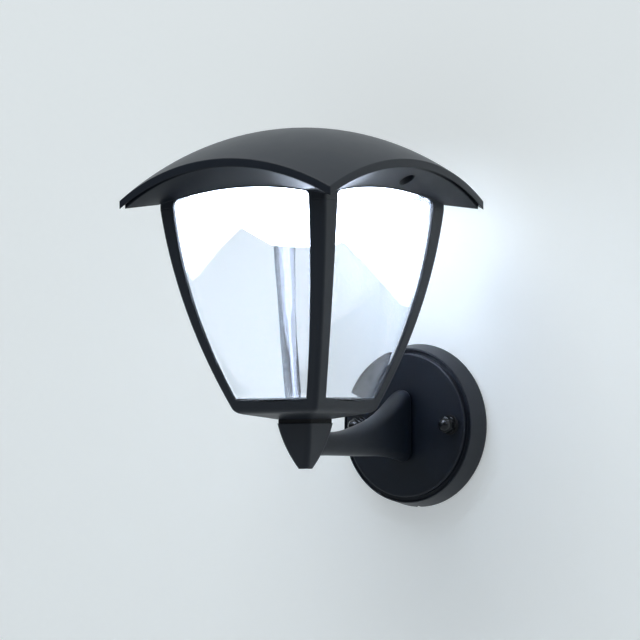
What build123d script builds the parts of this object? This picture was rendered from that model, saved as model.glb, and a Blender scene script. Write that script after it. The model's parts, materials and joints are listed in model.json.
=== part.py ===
"""Wall-mounted LED garden lantern, as an assembly of separate pieces (millimetres).

Frame: the wall is the plane y = 0 and the lantern stands in front of it, at negative y.
Up is +z, and the origin is the centre of the round wall plate, on the wall.
"""

from build123d import *
import math
import os

os.makedirs("parts", exist_ok=True)

# ---- Driving dimensions -------------------------------------------------------------------------

reach = 128.7  # wall to the lantern's upright axis

# Fits between pieces
slip_gap = 0.4  # between the shade and the castings round it
thread_gap = 0.06  # radial, between a screw and its tapped hole
bolt_gap = 0.2  # radial, between a screw and its clearance hole

# Roof: a dome, square in plan with bowed sides, whose four edges are arcs
roof_spread = 1.333  # its width over the lantern's width at the posts' heads
roof_bow = 0.05  # how far a side bows out, over the roof's half width
roof_apex_z = 191.4
roof_edge_z = 166.1  # top of the rim at the middle of a side
roof_tip_z = 138.7  # where the rims of two sides would meet if the sides weren't bowed
roof_rim = 5.3  # height of the rim band
roof_lip = 2.0  # width of the band's underside
roof_wall = 2.6

# Eaves and collar of the head frame
eave_gap = 0.5  # dark groove between the roof's band and the eaves
eave_panel = 2.5
eave_tip_z = 138.9  # lower outer edge of an eave panel, at its corner if the sides weren't bowed
eave_edge_z = 161.2  # and at the middle of the side
arch_foot_z = 142.0  # lower inner edge of an eave panel, at the post
arch_crown_z = 150.0  # and at the middle of the side
arch_corner_radius = 4.0
arch_lip = 0.5  # face between the arch and the eave panel above it
collar_top_z = 153.0
eave_floor = 8.0  # height of solid taken under an eave's foot

# Posts: the lantern's outer half width follows an arc with the height
post_foot_z = 14.1
post_foot_half = 35.4
post_head_z = 139.0
post_head_half = 66.1
post_bulge = 4.4  # how far the arc stands out from its chord
post_wall = 1.8
post_edge_radius = 3.0
post_face_top = 12.0  # width of a post's face at its head
post_face_foot = 8.0  # and just above the tray
window_sill_z = 17.0  # at the posts
window_sill_dip = 1.5  # lower than that in the middle
window_bulge = 5.2
side_window_inset = 2.0  # a window in the left or right side is narrower at each edge than one in front

# Tray under the shade
tray_edge_z = 8.4
tray_edge_radius = 6.5
tray_floor = 3.0
neck_half = 13.5
neck_z = 4.2

# Clear shade
shade_wall = 2.4
shade_floor = 2.5
shade_bottom_z = 14.0
shade_bottom_radius = 2.5
shade_corner_share = 0.188  # corner radius over half width
flange_thickness = 2.0
flange_width = 3.0

# Light engine
shade_gasket_thickness = 1.0
shade_gasket_width = 5.0
led_plate_thickness = 1.5
led_plate_corner = 6.0
board_gap = 2.0  # to the diffuser's bosses
board_thickness = 1.6
chip_size = 5.0
chip_height = 0.8
chip_count = 5  # along each side of the board
chip_margin = 14.0  # from the board's edge to the middle of the outer chips
diffuser_thickness = 1.6
diffuser_side = 2.0
diffuser_boss_radius = 3.2
diffuser_boss_inset = 8.0
diffuser_gap = 5.5
diffuser_depth = 34.0  # of the hanging pyramid, from the diffuser's rim down to its foot
diffuser_foot_half = 15.0
diffuser_foot_radius = 3.0
driver_length = 64.0
driver_width = 40.0
driver_height = 18.0
driver_ear_length = 9.0
driver_ear_width = 14.0
driver_ear_height = 3.0

# Screws: shank radius, head radius, head height
m3 = 1.5
m3_head = 2.7
m3_head_height = 2.0
m4 = 2.0
m4_head = 3.6
m4_head_height = 2.8
corner_screw_inset = 3.2
corner_screw_depth = 7.0  # thread in the post
roof_screw_inset = 2.5  # from the middle of the eave towards the collar
roof_screw_y = 10.0
roof_screw_pocket = 4.8  # radius of the hole under the eave
roof_screw_cup = 6.6
roof_screw_seat_z = 163.4
roof_screw_seat = 2.4
roof_screw_length = 7.0
roof_boss_radius = 4.2
small_screw_length = 3.6
arm_screw_length = 13.0

# Neck: hollow threaded tube, nut and washers
neck_gasket_thickness = 2.6
neck_gasket_inset = 0.4
nipple_radius = 5.0
nipple_bore = 3.0
nipple_depth = 10.0  # into the arm's head
nut_across_flats = 14.0
nut_height = 3.0
nut_washer_radius = 9.0
nut_washer_thickness = 1.0
pad_radius = 4.0
pad_spacing = 34.0

# Arm's head, the tapered square finial
finial_top_half = 13.65
finial_tip_half = 4.1
finial_tip_z = -27.7
finial_bulge = 1.2
finial_edge_radius = 3.4
finial_tip_radius = 0.8

# Arm: share of the way from the plate to the lantern's axis, then top, bottom and width of its
# upright oval section there
arm_root = (0.036, 23.8, -24.2, 13.8)
arm_flare = (0.1, 20.9, -22.6, 13.6)
arm_rise = (0.212, 12.8, -20.9, 13.4)
arm_waist = (0.365, 4.7, -20.3, 13.2)
arm_middle = (0.562, -1.4, -20.0, 13.0)
arm_front = (0.76, -4.0, -19.5, 12.8)
arm_tongue = (0.94, -4.2, -19.0, 12.6)
arm_end_radius = 3.4
wire_way_radius = 2.5
wire_way_z = -11.5

# Wall plate
plate_radius = 55.0
plate_draft = 3.0  # how much smaller its rim is in front than at the wall
plate_rim_depth = 15.4
plate_step = 3.8  # from the rim in to the raised disc
plate_depth = 17.4
groove_depth = 1.4
plate_wall = 2.5
rim_rounding = 0.7
disc_rounding = 1.0
drain_slot = 3.0  # width and depth of the notch in the rim's lowest point
wall_gasket_thickness = 1.2
wall_gasket_inset = 0.6
wall_gasket_width = 4.0

# Wall bracket and its studs
bracket_inset = 8.0  # its ends from the plate's edge
bracket_width = 24.0
bracket_thickness = 2.0
stud_inset = 11.2  # from the raised disc's edge
stud_radius = 2.5
stud_length = 24.6
stud_collar_radius = 4.0
stud_collar_height = 1.2
slot_spacing = 46.0
slot_length = 12.0
slot_radius = 2.4
grommet_hole = 7.0
grommet_bore = 4.0
grommet_flange = 9.5
grommet_lip = 1.0

# Cap nuts
washer_radius = 6.5
washer_thickness = 1.2
cap_across_flats = 10.0
cap_hex_height = 4.6
cap_collar_radius = 5.5
cap_collar_height = 1.0
cap_height = 9.6
cap_dome_radius = 4.6
cap_bore_depth = 7.0

# Terminal block and earth screw inside the plate
terminal_length = 25.0
terminal_height = 14.0
terminal_depth = 7.0
terminal_z = 31.0
terminal_rounding = 0.8
terminal_poles = 3
terminal_pitch = 8.0
contact_radius = 1.8
contact_depth = 1.6
contact_slot = 0.8
contact_row = 4.0  # from the block's middle line
terminal_wire_radius = 1.7
earth_x = 22.0
earth_z = -26.0
earth_boss = 4.5
earth_boss_height = 5.0
earth_washer_radius = 4.6
earth_washer_thickness = 1.0
earth_screw_length = 7.0
arm_screw_top_z = 14.5
arm_screw_bottom_z = -18.6
arm_washer_radius = 4.4
arm_washer_thickness = 0.8

# ---- Sizes that follow from them ----------------------------------------------------------------

same_place = slip_gap / 40  # two places nearer than this are one

roof_half = post_head_half * roof_spread
roof_fall = roof_apex_z - roof_edge_z
roof_radius = (roof_half**2 + roof_fall**2) / (2 * roof_fall)
edge_fall = roof_edge_z - roof_tip_z

collar_half = post_head_half
arch_rise = arch_crown_z - arch_foot_z
arch_radius = (collar_half**2 + arch_rise**2) / (2 * arch_rise)
arch_top_z = arch_crown_z - arch_lip
collar_square_z = arch_foot_z + 0.8 * eave_panel  # from here up the collar's corners are square
frame_inset = roof_lip + eave_gap
frame_half = roof_half - frame_inset
roof_screw_x = (collar_half + roof_half) / 2 - roof_screw_inset
shade_inset = post_wall + slip_gap
shade_head_half = post_head_half - shade_inset
passage_half = shade_head_half + slip_gap

flange_top_z = collar_top_z + flange_thickness
led_plate_z = flange_top_z + shade_gasket_thickness
led_plate_top_z = led_plate_z + led_plate_thickness
led_plate_half = shade_head_half + flange_width
board_z = led_plate_z - board_thickness
diffuser_z = arch_crown_z
diffuser_half = shade_head_half - shade_wall - diffuser_gap
diffuser_corner = shade_corner_share * shade_head_half - shade_wall - diffuser_gap
diffuser_foot_z = diffuser_z - diffuser_depth
diffuser_boss_at = diffuser_half - diffuser_boss_inset
board_half = diffuser_boss_at - diffuser_boss_radius - board_gap
chip_pitch = 2 * (board_half - chip_margin) / (chip_count - 1)
corner_screw_at = post_head_half - corner_screw_inset
driver_ear_at = driver_length / 2 + driver_ear_length / 2

neck_gasket_z = neck_z - neck_gasket_thickness
tray_inside_z = neck_z + tray_floor
nipple_top_z = tray_inside_z + nut_washer_thickness + nut_height + slip_gap
pad_height = shade_bottom_z - tray_inside_z

plate_face_y = -plate_depth
plate_inside_y = -(plate_depth - plate_wall)
plate_rim_radius = plate_radius - plate_draft
plate_disc_radius = plate_rim_radius - plate_step
stud_x = plate_disc_radius - stud_inset
arm_length = reach - plate_depth
arm_end_y = plate_face_y - arm_root[0] * arm_length
bracket_front_y = -bracket_thickness
cap_seat_y = plate_face_y - washer_thickness
cap_shoulder_y = cap_seat_y - cap_collar_height - cap_hex_height
cap_bore_radius = stud_radius + thread_gap
cap_dome_rise = cap_height - cap_collar_height - cap_hex_height
cap_ball_radius = (cap_dome_radius**2 + cap_dome_rise**2) / (2 * cap_dome_rise)
cap_ball_angle = math.asin(cap_dome_radius / cap_ball_radius)
cap_ball_y = cap_shoulder_y - cap_dome_rise + cap_ball_radius * (1 - math.cos(cap_ball_angle / 2))
terminal_columns = [terminal_pitch * (pole - (terminal_poles - 1) / 2) for pole in range(terminal_poles)]
contact_places = [(x, terminal_z + row) for x in terminal_columns for row in (-contact_row, contact_row)]
terminal_wire_y = plate_inside_y + earth_boss_height + terminal_depth / 2
big = 4 * roof_half  # longer than anything that it cuts


# ---- Planes and shared forms --------------------------------------------------------------------


def level(z):
    """Horizontal plane at height z, centred on the lantern's axis."""
    return Plane(origin=(0, -reach, z), x_dir=(1, 0, 0), z_dir=(0, 0, 1))


def upright(y):
    """Plane parallel to the wall at y, facing away from it, with local axes x and z."""
    return Plane(origin=(0, y, 0), x_dir=(1, 0, 0), z_dir=(0, -1, 0))


def side_plane(x, y=0):
    """Plane square to the x axis, with local axes y and z and its origin at x and y."""
    return Plane(origin=(x, y, 0), x_dir=(0, 1, 0), z_dir=(1, 0, 0))


def arc_half(z, low, high, bulge):
    """Half width at height z on the arc from low to high, both (half width, z), standing out by bulge."""
    rise = high[1] - low[1]
    run = high[0] - low[0]
    chord = math.hypot(rise, run)
    radius = (chord**2 / 4 + bulge**2) / (2 * bulge)
    centre_half = (low[0] + high[0]) / 2 - (radius - bulge) * rise / chord
    centre_z = (low[1] + high[1]) / 2 + (radius - bulge) * run / chord
    return centre_half + math.sqrt(radius**2 - (z - centre_z) ** 2)


def post_half(z):
    """Outer half width of the lantern at height z."""
    return arc_half(z, (post_foot_half, post_foot_z), (post_head_half, post_head_z), post_bulge)


def window_half(z):
    """Half width of the opening in front, between two posts, at height z."""
    foot = (post_half(window_sill_z) - post_face_foot, window_sill_z)
    head = (post_head_half - post_face_top, post_head_z)
    return arc_half(z, foot, head, window_bulge)


def window_sides():
    """Turn about the lantern's axis and inset of the two pairs of windows, the front's and the sides'."""
    return ((0, 0), (90, side_window_inset))


def finial_half(z):
    """Half width of the arm's head at height z."""
    return arc_half(z, (finial_tip_half, finial_tip_z), (finial_top_half, neck_gasket_z), finial_bulge)


def heights(low, high, count):
    """Evenly spaced heights from low to high."""
    return [low + (high - low) * step / (count - 1) for step in range(count)]


def shade_corner(z, inset):
    """Corner radius at height z of the shade's outer face, or of a face beside it at inset."""
    return shade_corner_share * (post_half(z) - shade_inset) - (inset - shade_inset)


def lantern_form(low, high, inset=0):
    """Solid inside the posts' outer arc: their own form, or rounded as the shade is, at an inset."""
    with BuildPart() as form:
        for z in heights(low, high, 6):
            corner = shade_corner(z, inset) if inset else post_edge_radius
            with BuildSketch(level(z)):
                RectangleRounded(2 * (post_half(z) - inset), 2 * (post_half(z) - inset), corner)
        loft()
    return form.part


def rounded_profile(high, edge, low, radius, count):
    """Points (half width, z) on the arc that rounds the edge between two lines, from the upper line down."""
    ways = []
    for end in (high, low):
        length = math.hypot(end[0] - edge[0], end[1] - edge[1])
        ways.append(((end[0] - edge[0]) / length, (end[1] - edge[1]) / length))
    (ux, uz), (vx, vz) = ways
    opening = math.acos(ux * vx + uz * vz)
    middle = math.hypot(ux + vx, uz + vz)
    centre = [at + (u + v) / middle * radius / math.sin(opening / 2) for at, u, v in zip(edge, *ways)]
    reach_along = radius / math.tan(opening / 2)
    first = math.atan2(edge[1] + uz * reach_along - centre[1], edge[0] + ux * reach_along - centre[0])
    points = []
    for step in range(count):
        angle = first - (math.pi - opening) * step / (count - 1)
        points.append((centre[0] + radius * math.cos(angle), centre[1] + radius * math.sin(angle)))
    return points


def bowed_block(inset):
    """Upright prism of the roof's plan, its bowed sides moved in by inset."""
    half = roof_half - inset
    corner = half - roof_bow * roof_half
    with BuildPart() as block:
        with BuildSketch(level(0)):
            with BuildLine():
                ThreePointArc((corner, -corner), (half, 0), (corner, corner))
                ThreePointArc((corner, corner), (0, half), (-corner, corner))
                ThreePointArc((-corner, corner), (-half, 0), (-corner, -corner))
                ThreePointArc((-corner, -corner), (0, -half), (corner, -corner))
            make_face()
        extrude(amount=roof_apex_z + roof_rim)
    return block.part


def crown(distance):
    """Share of the dome's fall at a distance from its apex, along a circular arc."""
    return (roof_radius - math.sqrt(roof_radius**2 - distance**2)) / roof_fall


def dome(drop, margin):
    """Solid under the roof's upper surface lowered by drop, as wide as the roof and a margin."""
    half = roof_half + margin
    floor_z = roof_tip_z - 3 * roof_rim
    with BuildPart() as block:
        for share in (-1, -0.5, 0, 0.5, 1):
            middle_z = roof_apex_z - drop - roof_fall * crown(share * half)
            side_fall = roof_fall - (roof_fall - edge_fall) * crown(share * half)
            side_z = middle_z - side_fall * crown(half)
            with BuildSketch(side_plane(share * half, -reach)):
                with BuildLine():
                    ThreePointArc((-half, side_z), (0, middle_z), (half, side_z))
                    Polyline((half, side_z), (half, floor_z), (-half, floor_z), (-half, side_z))
                make_face()
        loft()
    return block.part


def eave(lift):
    """One side's wedge under the eave panel's lower face raised by lift, about the z axis."""
    floor_z = post_head_z - eave_floor
    edges = (
        (collar_half, arch_foot_z + lift, arch_crown_z + lift),
        (frame_half, eave_tip_z + lift, eave_edge_z + lift),
    )
    with BuildPart() as wedge:
        for half, tip_z, middle_z in edges:
            with BuildSketch(side_plane(half)):
                with BuildLine():
                    ThreePointArc((-half, tip_z), (0, middle_z), (half, tip_z))
                    Polyline((half, tip_z), (half, floor_z), (-half, floor_z), (-half, tip_z))
                make_face()
        loft(ruled=True)
    return wedge.part


def screw(plane, places, shank, head, head_height, length):
    """Round-headed screws: heads rise from the plane along its normal, shanks go the other way."""
    with BuildPart() as screws:
        with BuildSketch(plane):
            with Locations(*places):
                Circle(head)
        extrude(amount=head_height)
        fillet(screws.faces().sort_by(plane_axis(plane))[-len(places) :].edges(), head_height * 0.4)
        with BuildSketch(plane):
            with Locations(*places):
                Circle(shank)
        extrude(amount=-length)
        with BuildSketch(plane.offset(head_height)):
            with Locations(*places):
                Rectangle(head * 1.1, head * 0.28)
                Rectangle(head * 0.28, head * 1.1)
        extrude(amount=-head_height * 0.45, mode=Mode.SUBTRACT)
    return screws.part


def plane_axis(plane):
    """Axis along a plane's normal."""
    return Axis(plane.origin, plane.z_dir)


corners = [(sx, sy) for sx in (-1, 1) for sy in (-1, 1)]


def at_corners(distance):
    """The four places at a distance from both middle lines."""
    return [(sx * distance, sy * distance) for sx, sy in corners]


# ---- Roof ---------------------------------------------------------------------------------------

roof_screw_places = [(roof_screw_x, roof_screw_y), (-roof_screw_x, -roof_screw_y)]

with BuildPart() as roof_bosses:
    with BuildSketch(level(roof_screw_seat_z)):
        with Locations(*roof_screw_places):
            Circle(roof_boss_radius)
    extrude(amount=roof_apex_z - roof_screw_seat_z)
    add(dome(roof_wall / 2, 0), mode=Mode.INTERSECT)

with BuildPart() as roof_hollow:
    add(dome(roof_wall, roof_lip))
    add(bowed_block(roof_lip), mode=Mode.INTERSECT)

with BuildPart() as roof:
    add(dome(0, roof_lip))
    add(bowed_block(0), mode=Mode.INTERSECT)
    add(dome(roof_rim, roof_lip), mode=Mode.SUBTRACT)
    add(roof_hollow.part, mode=Mode.SUBTRACT)
    add(roof_bosses.part)
    with BuildSketch(level(roof_screw_seat_z)):
        with Locations(*roof_screw_places):
            Circle(m4 + thread_gap)
    extrude(amount=roof_screw_length - roof_screw_seat + thread_gap, mode=Mode.SUBTRACT)

# ---- Head frame: eave panels and collar ---------------------------------------------------------

with BuildPart() as head_frame:
    with Locations((0, -reach, 0)):
        with PolarLocations(0, 4):
            add(eave(eave_panel))
    with BuildSketch(level(arch_foot_z)):
        with Locations(*roof_screw_places):
            Circle(roof_screw_cup)
    extrude(amount=roof_screw_seat_z - arch_foot_z)
    with Locations((0, -reach, 0)):
        with PolarLocations(0, 4):
            add(eave(0), mode=Mode.SUBTRACT)
    add(bowed_block(frame_inset), mode=Mode.INTERSECT)
    with BuildSketch(level(post_head_z)):
        RectangleRounded(2 * collar_half, 2 * collar_half, post_edge_radius)
    extrude(amount=collar_top_z - post_head_z)
    with BuildSketch(level(collar_square_z)):
        Rectangle(2 * collar_half, 2 * collar_half)
    extrude(amount=collar_top_z - collar_square_z)
    for turn, inset in window_sides():
        across = Plane(origin=(0, -reach, 0), x_dir=(1, 0, 0), z_dir=(0, -1, 0)).rotated((0, 0, turn))
        with BuildSketch(across):
            with BuildLine():
                half = window_half(post_head_z) - inset
                spring_z = arch_top_z - arch_radius + math.sqrt(arch_radius**2 - half**2)
                ThreePointArc((-half, spring_z), (0, arch_top_z), (half, spring_z))
                Polyline((half, spring_z), (half, window_sill_z), (-half, window_sill_z), (-half, spring_z))
            arch = make_face()
            fillet(arch.vertices().group_by(Axis.Y)[-1], arch_corner_radius)
        extrude(amount=collar_half + post_wall, both=True, mode=Mode.SUBTRACT)
    with BuildSketch(level(post_head_z)):
        RectangleRounded(2 * passage_half, 2 * passage_half, shade_corner(post_head_z, post_wall))
    extrude(amount=big, mode=Mode.SUBTRACT)
    with BuildSketch(level(0)):
        with Locations(*at_corners(corner_screw_at)):
            Circle(m3 + bolt_gap)
    extrude(amount=big, mode=Mode.SUBTRACT)
    with BuildSketch(level(0)):
        with Locations(*roof_screw_places):
            Circle(roof_screw_pocket)
    extrude(amount=roof_screw_seat_z - roof_screw_seat, mode=Mode.SUBTRACT)
    with BuildSketch(level(0)):
        with Locations(*roof_screw_places):
            Circle(m4 + bolt_gap)
    extrude(amount=big, mode=Mode.SUBTRACT)

# ---- Cage: tray and posts -----------------------------------------------------------------------

tray_wall_z = tray_edge_z + tray_floor
tray_edge_half = post_half(tray_edge_z)
tray_rounding = rounded_profile(
    (post_half(tray_wall_z), tray_wall_z), (tray_edge_half, tray_edge_z), (neck_half, neck_z), tray_edge_radius, 5
)
tray_top_z = tray_rounding[0][1]
tray_rounding[0] = (post_half(tray_top_z), tray_top_z)

with BuildPart() as cage_inside:
    add(lantern_form(tray_wall_z, post_head_z, post_wall))
    inner_half = post_half(tray_wall_z) - post_wall
    with BuildSketch(level(tray_inside_z)):
        RectangleRounded(2 * neck_half, 2 * neck_half, post_edge_radius)
    with BuildSketch(level(tray_wall_z)):
        RectangleRounded(2 * inner_half, 2 * inner_half, shade_corner(tray_wall_z, post_wall))
    loft(ruled=True)

with BuildPart() as cage:
    add(lantern_form(tray_top_z, post_head_z))
    for half, z in tray_rounding:
        with BuildSketch(level(z)):
            RectangleRounded(2 * half, 2 * half, post_edge_radius)
    loft()
    for half, z in (tray_rounding[-1], (neck_half, neck_z)):
        with BuildSketch(level(z)):
            RectangleRounded(2 * half, 2 * half, post_edge_radius)
    loft(ruled=True)
    add(cage_inside.part, mode=Mode.SUBTRACT)
    for turn, inset in window_sides():
        across = Plane(origin=(0, -reach, 0), x_dir=(1, 0, 0), z_dir=(0, -1, 0)).rotated((0, 0, turn))
        waist_z = (window_sill_z + post_head_z) / 2
        foot, waist, head = (window_half(z) - inset for z in (window_sill_z, waist_z, post_head_z))
        with BuildSketch(across):
            with BuildLine():
                ThreePointArc((-foot, window_sill_z), (0, window_sill_z - window_sill_dip), (foot, window_sill_z))
                ThreePointArc((foot, window_sill_z), (waist, waist_z), (head, post_head_z))
                Line((head, post_head_z), (-head, post_head_z))
                ThreePointArc((-head, post_head_z), (-waist, waist_z), (-foot, window_sill_z))
            make_face()
        extrude(amount=roof_half, both=True, mode=Mode.SUBTRACT)
    with BuildSketch(level(post_head_z)):
        with Locations(*at_corners(corner_screw_at)):
            Circle(m3 + thread_gap)
    extrude(amount=-corner_screw_depth - slip_gap, mode=Mode.SUBTRACT)
    with BuildSketch(level(0)):
        Circle(nipple_radius + bolt_gap)
    extrude(amount=tray_inside_z, mode=Mode.SUBTRACT)

# ---- Shade and its gasket and pads --------------------------------------------------------------

with BuildPart() as shade:
    add(lantern_form(shade_bottom_z, post_head_z, shade_inset))
    fillet(shade.faces().sort_by(Axis.Z)[0].edges(), shade_bottom_radius)
    with BuildSketch(level(post_head_z)):
        RectangleRounded(2 * shade_head_half, 2 * shade_head_half, shade_corner(post_head_z, shade_inset))
    extrude(amount=flange_top_z - post_head_z)
    with BuildSketch(level(collar_top_z)):
        RectangleRounded(2 * led_plate_half, 2 * led_plate_half, led_plate_corner)
    extrude(amount=flange_thickness)
    add(lantern_form(shade_bottom_z + shade_floor, post_head_z, shade_inset + shade_wall), mode=Mode.SUBTRACT)
    with BuildSketch(level(post_head_z)):
        inside = shade_head_half - shade_wall
        RectangleRounded(2 * inside, 2 * inside, shade_corner(post_head_z, shade_inset + shade_wall))
    extrude(amount=big, mode=Mode.SUBTRACT)
    with BuildSketch(level(collar_top_z)):
        with Locations(*at_corners(corner_screw_at)):
            Circle(m3 + slip_gap)
    extrude(amount=flange_thickness, mode=Mode.SUBTRACT)

with BuildPart() as shade_gasket:
    with BuildSketch(level(flange_top_z)):
        inner = led_plate_half - shade_gasket_width
        RectangleRounded(2 * led_plate_half, 2 * led_plate_half, led_plate_corner)
        RectangleRounded(2 * inner, 2 * inner, led_plate_corner, mode=Mode.SUBTRACT)
        with Locations(*at_corners(corner_screw_at)):
            Circle(m3 + slip_gap, mode=Mode.SUBTRACT)
    extrude(amount=shade_gasket_thickness)

with BuildPart() as shade_pads:
    with BuildSketch(level(tray_inside_z)):
        with GridLocations(pad_spacing, pad_spacing, 2, 2):
            Circle(pad_radius)
    extrude(amount=pad_height)
    add(cage_inside.part, mode=Mode.INTERSECT)

# ---- Light engine -------------------------------------------------------------------------------

board_screw_at = board_half - 2 * m3_head
diffuser_places = at_corners(diffuser_boss_at)

with BuildPart() as led_plate:
    with BuildSketch(level(led_plate_z)):
        RectangleRounded(2 * led_plate_half, 2 * led_plate_half, led_plate_corner)
        with Locations(*at_corners(corner_screw_at), *diffuser_places):
            Circle(m3 + bolt_gap, mode=Mode.SUBTRACT)
        with Locations(*at_corners(board_screw_at), (-driver_ear_at, 0), (driver_ear_at, 0)):
            Circle(m3 + thread_gap, mode=Mode.SUBTRACT)
    extrude(amount=led_plate_thickness)

with BuildPart() as led_board:
    with BuildSketch(level(board_z)):
        RectangleRounded(2 * board_half, 2 * board_half, led_plate_corner / 2)
        with Locations(*at_corners(board_screw_at)):
            Circle(m3 + bolt_gap, mode=Mode.SUBTRACT)
    extrude(amount=board_thickness)

with BuildPart() as led_chips:
    with BuildSketch(level(board_z)):
        with GridLocations(chip_pitch, chip_pitch, chip_count, chip_count):
            Rectangle(chip_size, chip_size)
    extrude(amount=-chip_height)

with BuildPart() as diffuser_form:
    with BuildSketch(level(diffuser_foot_z)):
        RectangleRounded(2 * diffuser_foot_half, 2 * diffuser_foot_half, diffuser_corner)
    with BuildSketch(level(diffuser_z)):
        RectangleRounded(2 * diffuser_half, 2 * diffuser_half, diffuser_corner)
    loft(ruled=True)
    fillet(diffuser_form.faces().sort_by(Axis.Z)[0].edges(), diffuser_foot_radius)
    with BuildSketch(level(diffuser_z)):
        RectangleRounded(2 * diffuser_half, 2 * diffuser_half, diffuser_corner)
    extrude(amount=led_plate_z - diffuser_z)

with BuildPart() as diffuser_bosses:
    with BuildSketch(level(led_plate_z)):
        with Locations(*diffuser_places):
            Circle(diffuser_boss_radius)
    extrude(amount=diffuser_foot_z - led_plate_z)
    add(diffuser_form.part, mode=Mode.INTERSECT)

with BuildPart() as diffuser:
    add(diffuser_form.part)
    foot_inside = diffuser_foot_half - diffuser_side / 2
    inner = diffuser_half - diffuser_side
    with BuildSketch(level(diffuser_foot_z + diffuser_thickness)):
        RectangleRounded(2 * foot_inside, 2 * foot_inside, diffuser_corner - diffuser_side)
    with BuildSketch(level(diffuser_z + diffuser_thickness)):
        RectangleRounded(2 * inner, 2 * inner, diffuser_corner - diffuser_side)
    loft(ruled=True, mode=Mode.SUBTRACT)
    with BuildSketch(level(diffuser_z + diffuser_thickness)):
        RectangleRounded(2 * inner, 2 * inner, diffuser_corner - diffuser_side)
    extrude(amount=big, mode=Mode.SUBTRACT)
    add(diffuser_bosses.part)
    with BuildSketch(level(led_plate_z)):
        with Locations(*diffuser_places):
            Circle(m3 + thread_gap)
    extrude(amount=-(led_plate_z - diffuser_z - diffuser_thickness), mode=Mode.SUBTRACT)

with BuildPart() as driver:
    with BuildSketch(level(led_plate_top_z)):
        RectangleRounded(driver_length, driver_width, driver_ear_height)
    extrude(amount=driver_height)
    fillet(driver.faces().sort_by(Axis.Z)[-1].edges(), m3)
    with BuildSketch(level(led_plate_top_z)):
        RectangleRounded(driver_length + 2 * driver_ear_length, driver_ear_width, driver_ear_height)
        with Locations((-driver_ear_at, 0), (driver_ear_at, 0)):
            Circle(m3 + bolt_gap, mode=Mode.SUBTRACT)
    extrude(amount=driver_ear_height)

corner_screws = screw(
    level(led_plate_top_z),
    at_corners(corner_screw_at),
    m3,
    m3_head,
    m3_head_height,
    led_plate_top_z - post_head_z + corner_screw_depth,
)
diffuser_screws = screw(
    level(led_plate_top_z), diffuser_places, m3, m3_head, m3_head_height, led_plate_thickness + small_screw_length
)
board_screws = screw(
    level(board_z).rotated((180, 0, 0)),
    at_corners(board_screw_at),
    m3,
    m3_head,
    m3_head_height,
    board_thickness + led_plate_thickness,
)
driver_screws = screw(
    level(led_plate_top_z + driver_ear_height),
    [(-driver_ear_at, 0), (driver_ear_at, 0)],
    m3,
    m3_head,
    m3_head_height,
    driver_ear_height + led_plate_thickness,
)
roof_screw_plane = level(roof_screw_seat_z - roof_screw_seat).rotated((180, 0, 0))
roof_screws = screw(
    roof_screw_plane, [(x, -y) for x, y in roof_screw_places], m4, m4_head, m4_head_height, roof_screw_length
)

# ---- Neck ---------------------------------------------------------------------------------------

with BuildPart() as neck_gasket:
    with BuildSketch(level(neck_gasket_z)):
        gasket_half = neck_half - neck_gasket_inset
        RectangleRounded(2 * gasket_half, 2 * gasket_half, post_edge_radius)
        Circle(nipple_radius + bolt_gap, mode=Mode.SUBTRACT)
    extrude(amount=neck_gasket_thickness)

with BuildPart() as neck_nipple:
    with BuildSketch(level(neck_gasket_z - nipple_depth)):
        Circle(nipple_radius)
        Circle(nipple_bore, mode=Mode.SUBTRACT)
    extrude(amount=nipple_top_z - neck_gasket_z + nipple_depth)

with BuildPart() as neck_washer:
    with BuildSketch(level(tray_inside_z)):
        Circle(nut_washer_radius)
        Circle(nipple_radius + bolt_gap, mode=Mode.SUBTRACT)
    extrude(amount=nut_washer_thickness)

with BuildPart() as neck_nut:
    with BuildSketch(level(tray_inside_z + nut_washer_thickness)):
        RegularPolygon(nut_across_flats / 2, 6, major_radius=False)
        Circle(nipple_radius + thread_gap, mode=Mode.SUBTRACT)
    extrude(amount=nut_height)

# ---- Arm with its tapered head ------------------------------------------------------------------

arm_stations = (arm_tongue, arm_front, arm_middle, arm_waist, arm_rise, arm_flare, arm_root)

with BuildPart() as arm_head:
    for z in heights(finial_tip_z, neck_gasket_z, 6):
        with BuildSketch(level(z)):
            RectangleRounded(2 * finial_half(z), 2 * finial_half(z), finial_edge_radius)
    loft()
    fillet(arm_head.faces().sort_by(Axis.Z)[0].edges(), finial_tip_radius)

with BuildPart() as arm:
    for share, top_z, bottom_z, width in arm_stations:
        with BuildSketch(upright(plate_face_y - share * arm_length)):
            with Locations((0, (top_z + bottom_z) / 2)):
                SlotOverall(top_z - bottom_z, width, rotation=90)
    loft()
    with BuildSketch(upright(arm_end_y)):
        with Locations((0, (arm_root[1] + arm_root[2]) / 2)):
            SlotOverall(arm_root[1] - arm_root[2], arm_root[3], rotation=90)
    extrude(amount=arm_end_y - plate_face_y)
    fillet(arm.faces().sort_by(Axis.Y)[-1].edges(), arm_end_radius)
    add(arm_head.part)
    with BuildSketch(level(neck_gasket_z)):
        Circle(nipple_radius + thread_gap)
    extrude(amount=-nipple_depth, mode=Mode.SUBTRACT)
    with BuildSketch(upright(plate_face_y)):
        with Locations((0, wire_way_z)):
            Circle(wire_way_radius)
    extrude(amount=arm_length, mode=Mode.SUBTRACT)
    with BuildSketch(level(neck_gasket_z - nipple_depth)):
        Circle(wire_way_radius)
    extrude(amount=wire_way_z - wire_way_radius - neck_gasket_z + nipple_depth, mode=Mode.SUBTRACT)
    with BuildSketch(upright(plate_face_y)):
        with Locations((0, arm_screw_top_z), (0, arm_screw_bottom_z)):
            Circle(m4 + thread_gap)
    extrude(amount=arm_screw_length - plate_wall, mode=Mode.SUBTRACT)

# ---- Wall plate ---------------------------------------------------------------------------------

arm_screw_places = [(0, arm_screw_top_z), (0, arm_screw_bottom_z)]
stud_places = [(-stud_x, 0), (stud_x, 0)]
groove_y = -(plate_rim_depth - groove_depth)

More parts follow.
